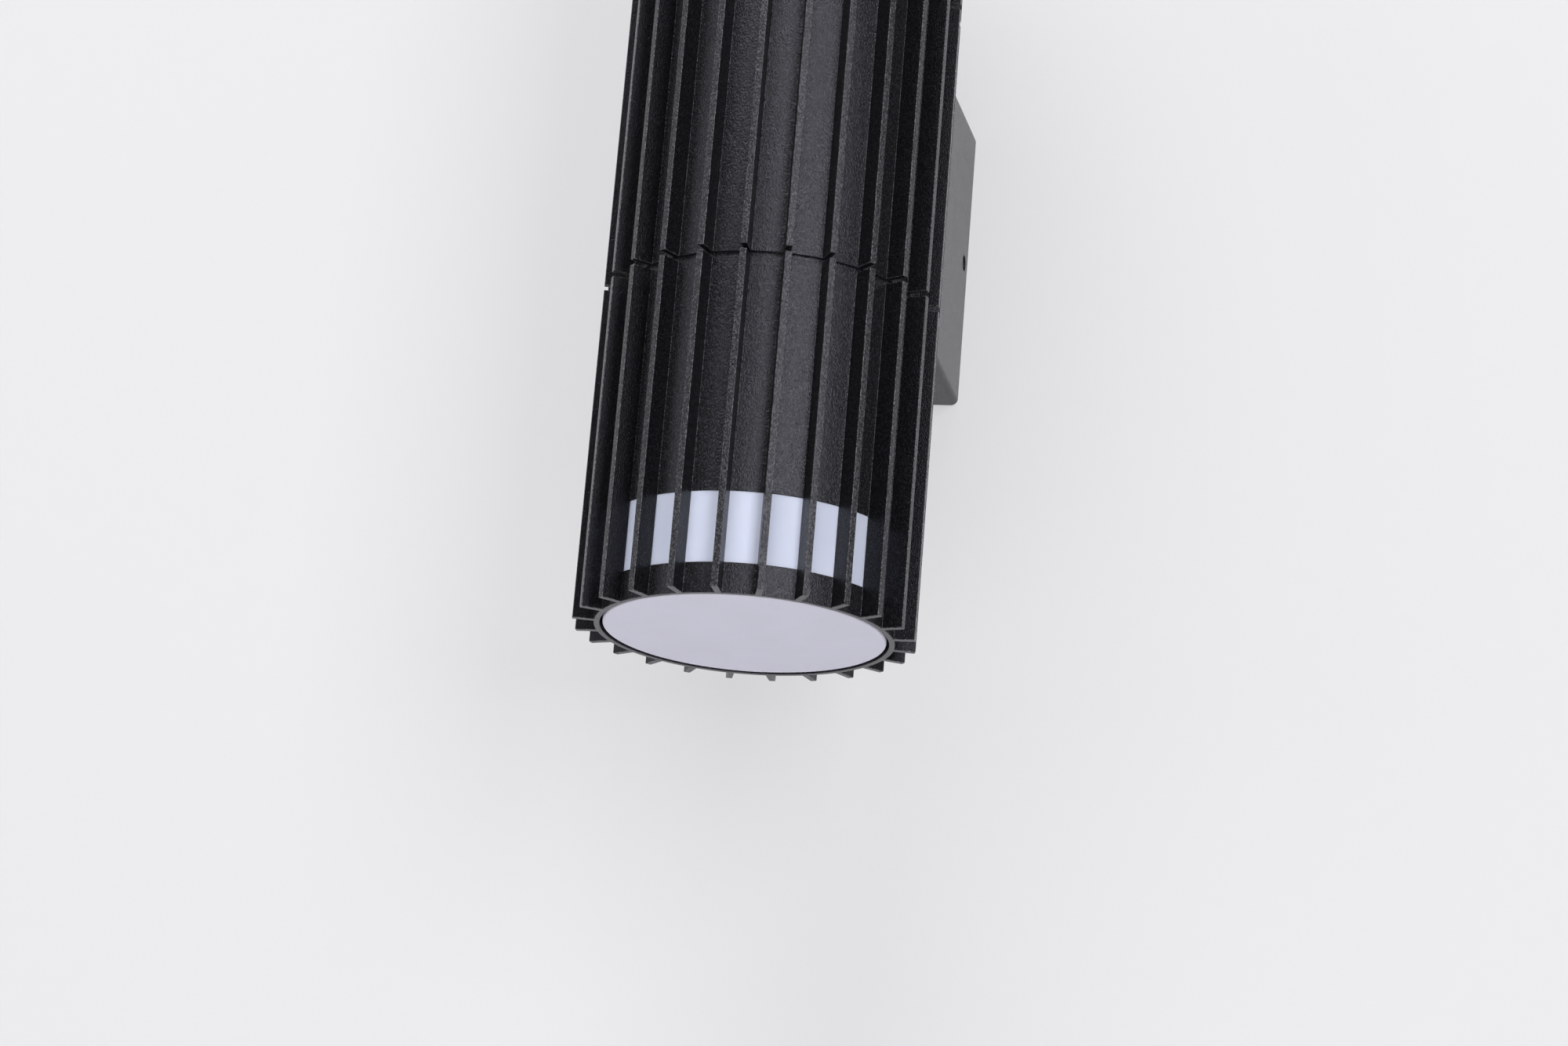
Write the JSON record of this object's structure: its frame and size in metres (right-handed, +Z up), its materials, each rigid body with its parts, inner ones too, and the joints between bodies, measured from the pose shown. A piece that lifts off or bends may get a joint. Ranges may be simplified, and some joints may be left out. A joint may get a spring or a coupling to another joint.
{
  "type": "outdoor wall light",
  "caption": "Black finned tubular up-and-down wall light with opal lit ends, a ring of lit windows between the fins at each end, and a square wall box.",
  "frame": {"origin": "on the wall plane, in the middle of the wall plate's screw slots, at the lamp's mid-height", "axes": "+Z up along the tube, +Y into the wall, +X to the right of someone who faces the light"},
  "size_m": [0.1, 0.144, 0.3],
  "materials": {
    "powder_black": "fine textured black powder coat",
    "opal": "satin opal, lets light through",
    "bare_aluminium": "turned, bare",
    "zinc_steel": "bright zinc plate",
    "black_steel": "black oxide",
    "yellow_brass": "turned, bare",
    "black_rubber": "matt",
    "board_white": "white solder mask",
    "led_yellow": "phosphor under clear resin",
    "driver_case": "moulded, satin",
    "block_nylon": "natural nylon",
    "wire_brown": "PVC sleeve",
    "wire_blue": "PVC sleeve",
    "wire_green": "PVC sleeve, green with yellow",
    "wire_red": "PVC sleeve"
  },
  "bodies": {
    "wall_mount": {"wall_plate": "zinc_steel", "entry_grommet": "black_rubber"},
    "lamp": {"barrel": "powder_black", "block_screw": "zinc_steel", "box_screws": "black_steel", "box_washers": "zinc_steel", "bracket_screws": "zinc_steel", "clamp_plate": "bare_aluminium", "driver": "driver_case", "driver_bracket": "zinc_steel", "driver_screws": "zinc_steel", "earth_lug": "yellow_brass", "earth_screw": "yellow_brass", "earth_wire": "wire_green", "live_wire": "wire_brown", "lower_board_screws": "zinc_steel", "lower_carrier": "bare_aluminium", "lower_coupling": "powder_black", "lower_head": "powder_black", "lower_leads": "wire_red", "lower_led_board": "board_white", "lower_led_chips": "led_yellow", "lower_seal": "black_rubber", "lower_standoff_screws": "zinc_steel", "lower_standoffs": "yellow_brass", "lower_window_band": "opal", "neck_gasket": "black_rubber", "neck_grommet": "black_rubber", "neutral_wire": "wire_blue", "terminal_block": "block_nylon", "terminal_screws": "zinc_steel", "upper_board_screws": "zinc_steel", "upper_carrier": "bare_aluminium", "upper_coupling": "powder_black", "upper_head": "powder_black", "upper_leads": "wire_red", "upper_led_board": "board_white", "upper_led_chips": "led_yellow", "upper_seal": "black_rubber", "upper_standoff_screws": "zinc_steel", "upper_standoffs": "yellow_brass", "upper_window_band": "opal", "wall_box": "powder_black", "wall_gasket": "black_rubber"},
    "lower_cup": {"lower_diffuser": "opal"},
    "upper_cup": {"upper_diffuser": "opal"},
    "right_lock": {"right_lock_screw": "black_steel"},
    "left_lock": {"left_lock_screw": "black_steel"}
  },
  "joints": [
    {"name": "box_release", "type": "slide", "parent": "wall_mount", "child": "lamp", "axis": [0, -1, 0], "range_m": [0, 0.06]},
    {"name": "lower_cup_pull", "type": "slide", "parent": "lamp", "child": "lower_cup", "axis": [0, 0, -1], "range_m": [0, 0.05]},
    {"name": "upper_cup_pull", "type": "slide", "parent": "lamp", "child": "upper_cup", "axis": [0, 0, 1], "range_m": [0, 0.05]},
    {"name": "right_lock_out", "type": "slide", "parent": "lamp", "child": "right_lock", "axis": [1, 0, 0], "range_m": [0, 0.006]},
    {"name": "left_lock_out", "type": "slide", "parent": "lamp", "child": "left_lock", "axis": [-1, 0, 0], "range_m": [0, 0.006]}
  ]
}
